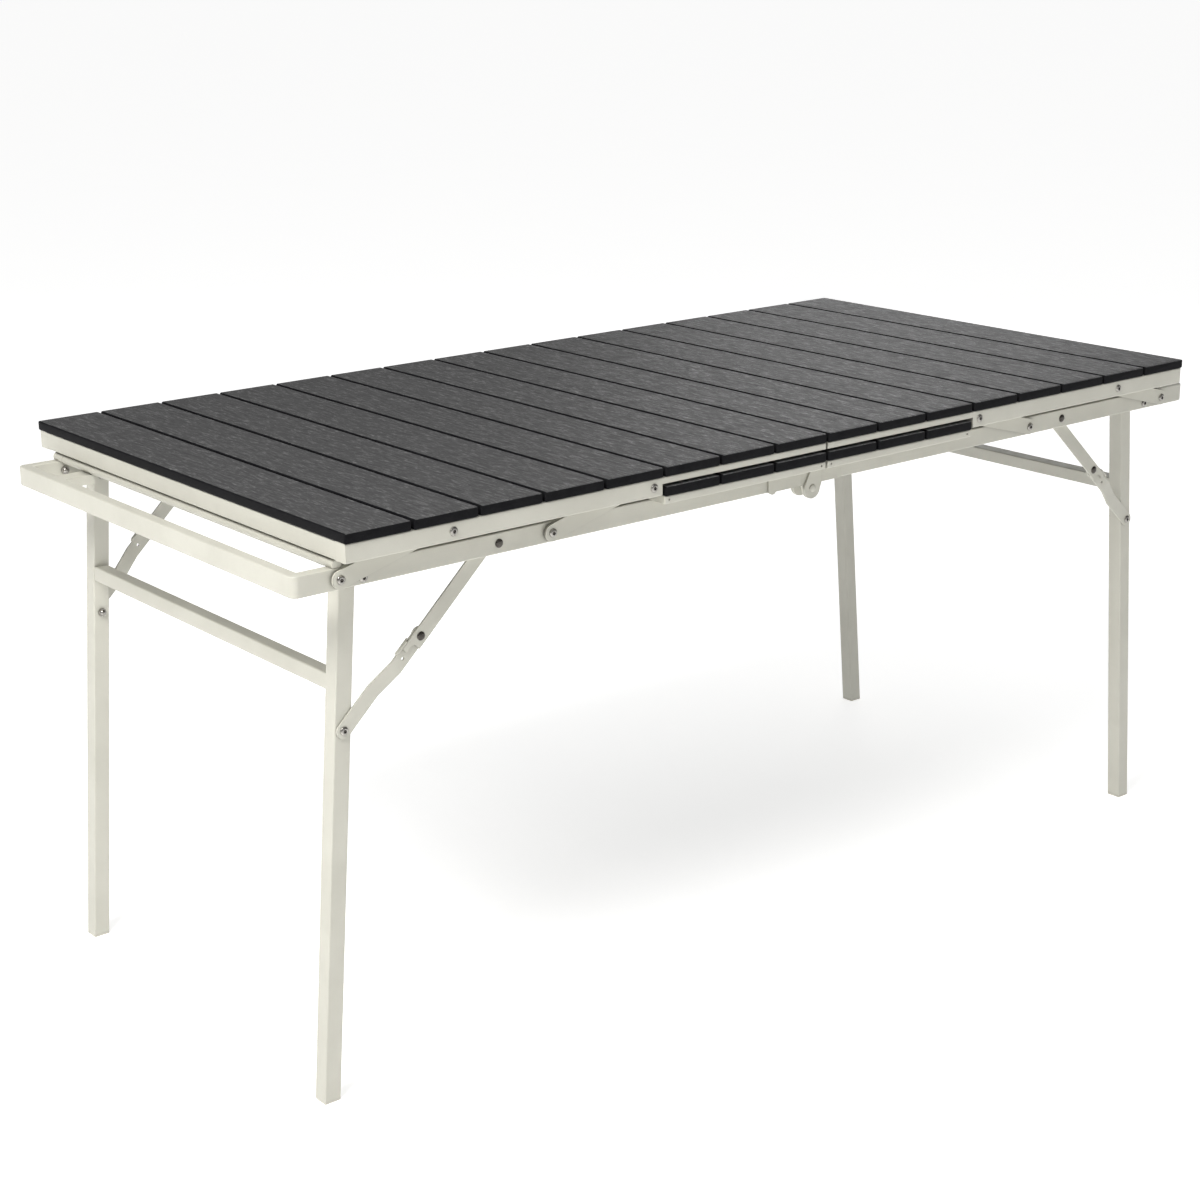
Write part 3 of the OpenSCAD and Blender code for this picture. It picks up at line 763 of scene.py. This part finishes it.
def stop_lip(side, face):
    """The lower arm's lug is bent forward into a lip, over the edge of the upper arm's tongue."""
    rivet_low, rivet_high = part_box(f"{side}_{face}_knee_rivet")
    knee = (Vector(rivet_low) + Vector(rivet_high)) / 2
    front = -1 if face == "front" else 1
    bolts = [b for b in islands(f"{side}_brace_bolts") if (b[0].y + b[1].y) * front > 0]
    foot = (bolts[0][0] + bolts[0][1]) / 2
    along = Vector((foot.x - knee.x, 0, foot.z - knee.z)).normalized()
    outward = Vector((-along.z, 0, along.x))
    if outward.z < 0:
        outward = -outward
    node = f"{side}_{face}_lower_arm"
    arm_low, arm_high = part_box(node)
    back_y = arm_low[1] if face == "front" else arm_high[1]
    forward = Vector((0, front, 0))
    bm = bmesh.new()
    corners = []
    for reach, taper in ((-LIP_ROOT, 0.0), (LIP_REACH, LIP_TAPER)):
        for start in (LIP_START + taper, LIP_START + LIP_LENGTH - taper):
            for height in (LIP_LOW, LIP_LOW + LIP_THICK):
                place = Vector((knee.x, back_y, knee.z)) + along * start
                place += outward * height + forward * reach
                corners.append(bm.verts.new(place))
    bmesh.ops.convex_hull(bm, input=corners)
    bmesh.ops.dissolve_limit(bm, angle_limit=math.radians(1.0), verts=bm.verts, edges=bm.edges)
    bmesh.ops.bevel(
        bm, geom=list(bm.edges), offset=0.55 * MM, offset_type="OFFSET", segments=3, profile=0.5,
        affect="EDGES", clamp_overlap=True,
    )
    bmesh.ops.recalc_face_normals(bm, faces=bm.faces)
    mesh = mesh_from(bm, f"{node}_lip")
    make_object(f"{node}_lip", mesh, body_of_node(node), "coat", COAT)


# ---------- weld beads ----------

BEAD_RADIUS = 0.9 * MM
BEAD_RIPPLE = 0.9 * MM
BEAD_POINTS = 10


def weld_bead(bm, start, end):
    """A rippled bead of weld along a joint, thin at both ends."""
    along = end - start
    count = max(6, int(along.length / BEAD_RIPPLE))
    rings = []
    for i in range(count + 1):
        share = i / count
        swell = math.sin(math.pi * min(share, 1 - share, 0.06) / 0.12)
        ripple = 1 + 0.13 * math.sin(i * 1.9)
        rings.append((along.length * share, BEAD_RADIUS * (0.15 + 0.85 * swell) * ripple))
    revolve(bm, start, along, rings, BEAD_POINTS)


def cross_rail_beads(node):
    """Beads along the underside of every cross rail, where it meets the side rails."""
    bm = bmesh.new()
    for low, high in islands(node):
        for y in (low.y, high.y):
            weld_bead(bm, Vector((low.x + MM, y, low.z)), Vector((high.x - MM, y, low.z)))
    bmesh.ops.recalc_face_normals(bm, faces=bm.faces)
    name = f"{node}_welds"
    make_object(name, mesh_from(bm, name, 60.0), body_of_node(node), "coat", COAT)


# ---------- build ----------

TUBES_AND_RAILS = (
    "u_tube", "deck_frame", "panel_rails", "panel_cross_rails", "leg_tubes", "leg_stretcher",
)
FRAME_BOLT_ENDS = [("socket", "cap"), ("rivet", "rivet"), ("socket", "cap"), ("socket", "cap")]
PANEL_BOLT_ENDS = [("socket", "thin"), ("socket", "thin")]
BRACE_BOLT_ENDS = [("socket", "cap")]
KNEE_RIVET_ENDS = [("rivet", "flush")]

for side in SIDES:
    for name in TUBES_AND_RAILS:
        softened(f"{side}_{name}", 0.35 * MM)
    for name in ("hinge_leaf", "rest_bar"):
        softened(f"{side}_{name}", 0.3 * MM)
    softened(f"{side}_foot_caps", 0.7 * MM, 3)
    for face in ("front", "back"):
        for name in ("upper_arm", "lower_arm", "outer_link", "inner_link"):
            softened(f"{side}_{face}_{name}", 0.35 * MM)
        bolt_set(f"{side}_{face}_knee_rivet", KNEE_RIVET_ENDS)
        stop_lip(side, face)
    for name in ("frame_spacers", "panel_spacers"):
        softened(f"{side}_{name}", 0.25 * MM)
    bolt_set(f"{side}_frame_bolts", FRAME_BOLT_ENDS)
    bolt_set(f"{side}_panel_bolts", PANEL_BOLT_ENDS)
    bolt_set(f"{side}_brace_bolts", BRACE_BOLT_ENDS)
    screw_set(f"{side}_deck_screws")
    screw_set(f"{side}_panel_screws")
    slat_row(f"{side}_deck_slats")
    slat_row(f"{side}_panel_slats")
    cross_rail_beads(f"{side}_panel_cross_rails")
softened("left_corner_bracket", 0.3 * MM)
pin_set("hinge_pins")


# ---------- stage, lights and camera ----------

def one_sided(tree, shader):
    """Leaves the back of a surface clear, so that views from below look through it."""
    clear = tree.nodes.new("ShaderNodeBsdfTransparent")
    facing = tree.nodes.new("ShaderNodeNewGeometry")
    blend = tree.nodes.new("ShaderNodeMixShader")
    output = next(node for node in tree.nodes if node.type == "OUTPUT_MATERIAL")
    tree.links.new(facing.outputs["Backfacing"], blend.inputs[0])
    tree.links.new(shader.outputs["BSDF"], blend.inputs[1])
    tree.links.new(clear.outputs["BSDF"], blend.inputs[2])
    tree.links.new(blend.outputs["Shader"], output.inputs["Surface"])


def floor():
    """A wide pale floor, solid from above, that runs past the edges of the view."""
    half = 60.0
    mesh = bpy.data.meshes.new("floor")
    corners = [(-half, -half, 0), (half, -half, 0), (half, half, 0), (-half, half, 0)]
    mesh.from_pydata(corners, [], [(0, 1, 2, 3)])
    material, tree, shader = new_material("floor_paint")
    cloud = noise_value(tree, object_coords(tree), 3.0, 3.0)
    tone = mix_colour(tree, cloud, tint(0.86, 0.86, 0.855), tint(0.88, 0.88, 0.875))
    connect(tree, tone, shader.inputs["Base Color"])
    shader.inputs["Roughness"].default_value = 0.85
    shader.inputs["Emission Color"].default_value = tint(1, 1, 1)
    shader.inputs["Emission Strength"].default_value = 0.65
    one_sided(tree, shader)
    mesh.materials.append(material)
    piece = bpy.data.objects.new("floor", mesh)
    bpy.context.scene.collection.objects.link(piece)


def area_light(name, place, target, size, power, colour=(1, 1, 1)):
    """A round soft light aimed at a point."""
    data = bpy.data.lights.new(name, "AREA")
    data.shape = "DISK"
    data.size = size
    data.energy = power
    data.color = colour
    lamp = bpy.data.objects.new(name, data)
    bpy.context.scene.collection.objects.link(lamp)
    lamp.location = place
    direction = Vector(target) - Vector(place)
    lamp.rotation_euler = direction.to_track_quat("-Z", "Y").to_euler()


def studio():
    """Dim surround, soft overhead light, key over the left end, front fill and a low sheen behind."""
    world = bpy.data.worlds.new("studio")
    bpy.context.scene.world = world
    world.use_nodes = True
    background = world.node_tree.nodes["Background"]
    background.inputs["Color"].default_value = tint(1.0, 1.0, 1.0)
    background.inputs["Strength"].default_value = 0.14
    area_light("key", (-2.4, -0.9, 2.9), (-0.5, 0, 0.6), 1.5, 104, (1.0, 0.992, 0.975))
    area_light("fill", (-0.2, -4.2, 1.6), (0.1, 0, 0.5), 2.2, 6, (0.985, 0.99, 1.0))
    area_light("sheen", (3.6, 2.8, 1.7), (0.5, 0, 0.7), 2.0, 15)
    overhead = bpy.data.lights.new("overhead", "SUN")
    overhead.energy = 0.7
    overhead.angle = math.radians(70)
    bpy.context.scene.collection.objects.link(bpy.data.objects.new("overhead", overhead))


CAMERA_PLACE = (-1.92506, -2.29858, 1.32446)
CAMERA_YAW = 0.678
CAMERA_PITCH = 0.300
CAMERA_ROLL = -0.011
LENS_MM = 66.68
SENSOR_MM = 36.0


def camera():
    """The camera at the viewing angle, from its place, yaw, pitch down and roll."""
    data = bpy.data.cameras.new("camera")
    data.lens = LENS_MM
    data.sensor_width = SENSOR_MM
    data.clip_end = 200.0
    eye = bpy.data.objects.new("camera", data)
    bpy.context.scene.collection.objects.link(eye)
    forward = Vector((
        math.cos(CAMERA_PITCH) * math.sin(CAMERA_YAW),
        math.cos(CAMERA_PITCH) * math.cos(CAMERA_YAW),
        -math.sin(CAMERA_PITCH),
    ))
    level = Vector((math.cos(CAMERA_YAW), -math.sin(CAMERA_YAW), 0))
    up = level.cross(forward)
    right = level * math.cos(CAMERA_ROLL) + up * math.sin(CAMERA_ROLL)
    up = up * math.cos(CAMERA_ROLL) - level * math.sin(CAMERA_ROLL)
    turn = Matrix((right, up, -forward)).transposed().to_4x4()
    eye.matrix_world = Matrix.Translation(CAMERA_PLACE) @ turn
    bpy.context.scene.camera = eye


floor()
studio()
camera()
bpy.context.scene.view_settings.view_transform = "Standard"
